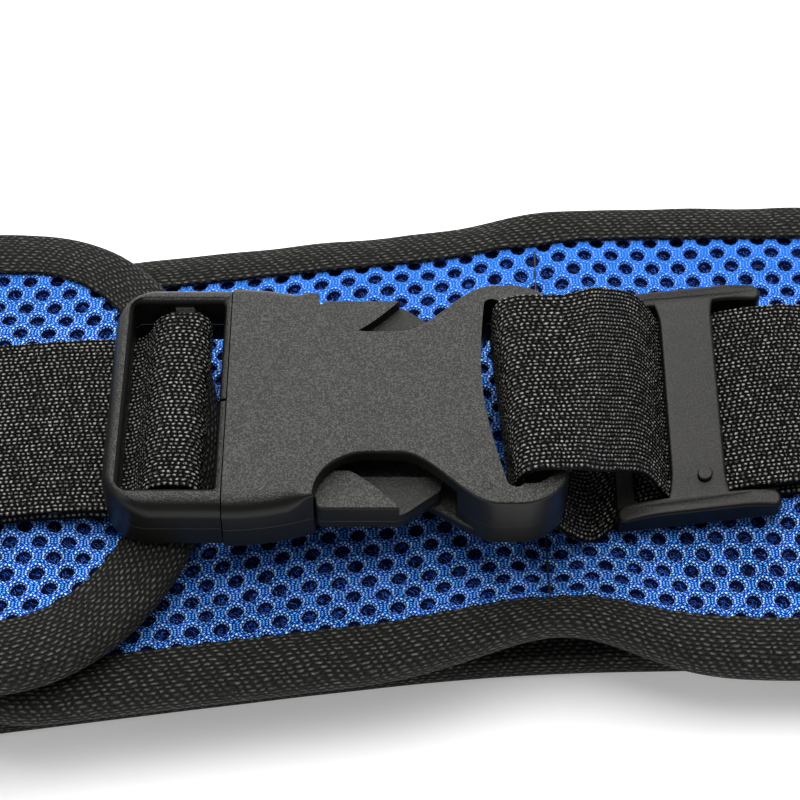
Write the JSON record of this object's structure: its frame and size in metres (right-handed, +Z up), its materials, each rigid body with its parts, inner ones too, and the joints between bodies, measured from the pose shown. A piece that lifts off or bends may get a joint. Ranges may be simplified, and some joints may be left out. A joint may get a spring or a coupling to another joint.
{
  "type": "gait belt",
  "caption": "Padded gait belt with spacer mesh, bound edges, webbing, a side-release buckle and a strap slider, fastened and laid flat as a loop.",
  "frame": {"origin": "on the flat underside of the back of the loop, below the buckle", "axes": "+X along the belt from the plug to the socket, +Y from the front edge to the rear edge, +Z up from the surface it lies on"},
  "size_m": [0.4651, 0.1643, 0.0607],
  "materials": {
    "mesh": "blue knitted spacer mesh",
    "foam": "soft foam",
    "lining": "black cloth",
    "tape": "black twill binding tape",
    "webbing": "black woven webbing",
    "plastic": "moulded black plastic with a fine grain"
  },
  "bodies": {
    "belt": {"back_cover": "mesh", "back_foam": "foam", "back_lining": "lining", "back_binding_front": "tape", "back_binding_rear": "tape", "right_turn_cover": "mesh", "right_turn_foam": "foam", "right_turn_lining": "lining", "right_turn_binding_front": "tape", "right_turn_binding_rear": "tape", "right_cover": "mesh", "right_foam": "foam", "right_lining": "lining", "right_binding": "tape", "left_turn_cover": "mesh", "left_turn_foam": "foam", "left_turn_lining": "lining", "left_turn_binding_front": "tape", "left_turn_binding_rear": "tape", "strap_sewn": "webbing", "strap_loop": "webbing", "strap_tail": "webbing", "socket_body": "plastic"},
    "plug_end": {"left_cover": "mesh", "left_foam": "foam", "left_lining": "lining", "left_binding": "tape", "left_strap": "webbing", "plug_frame": "plastic"},
    "front_prong": {"prong_front": "plastic"},
    "rear_prong": {"prong_rear": "plastic"},
    "slider": {"tri_glide": "plastic", "strap_in_slider": "webbing"}
  },
  "joints": [
    {"name": "plug_slide", "type": "slide", "parent": "belt", "child": "plug_end", "axis": [-1, 0, 0], "range_m": [0, 0.055], "deforming": ["prong_front", "prong_rear", "left_turn_cover", "left_turn_foam", "left_turn_lining", "left_turn_binding_front", "left_turn_binding_rear"]},
    {"name": "front_squeeze", "type": "hinge", "parent": "plug_end", "child": "front_prong", "pos_m": [-0.0375, -0.022, 0.04925], "axis": [0, 0, 1], "range_deg": [0, 8], "stiffness_Nm_per_rad": 0.5},
    {"name": "rear_squeeze", "type": "hinge", "parent": "plug_end", "child": "rear_prong", "pos_m": [-0.0375, 0.024, 0.04925], "axis": [0, 0, -1], "range_deg": [0, 8], "stiffness_Nm_per_rad": 0.5},
    {"name": "slider_slide", "type": "slide", "parent": "belt", "child": "slider", "axis": [0.9916, 0.1289, 0.0113], "range_m": [-0.008, 0.008], "deforming": ["strap_loop", "strap_tail"]}
  ]
}
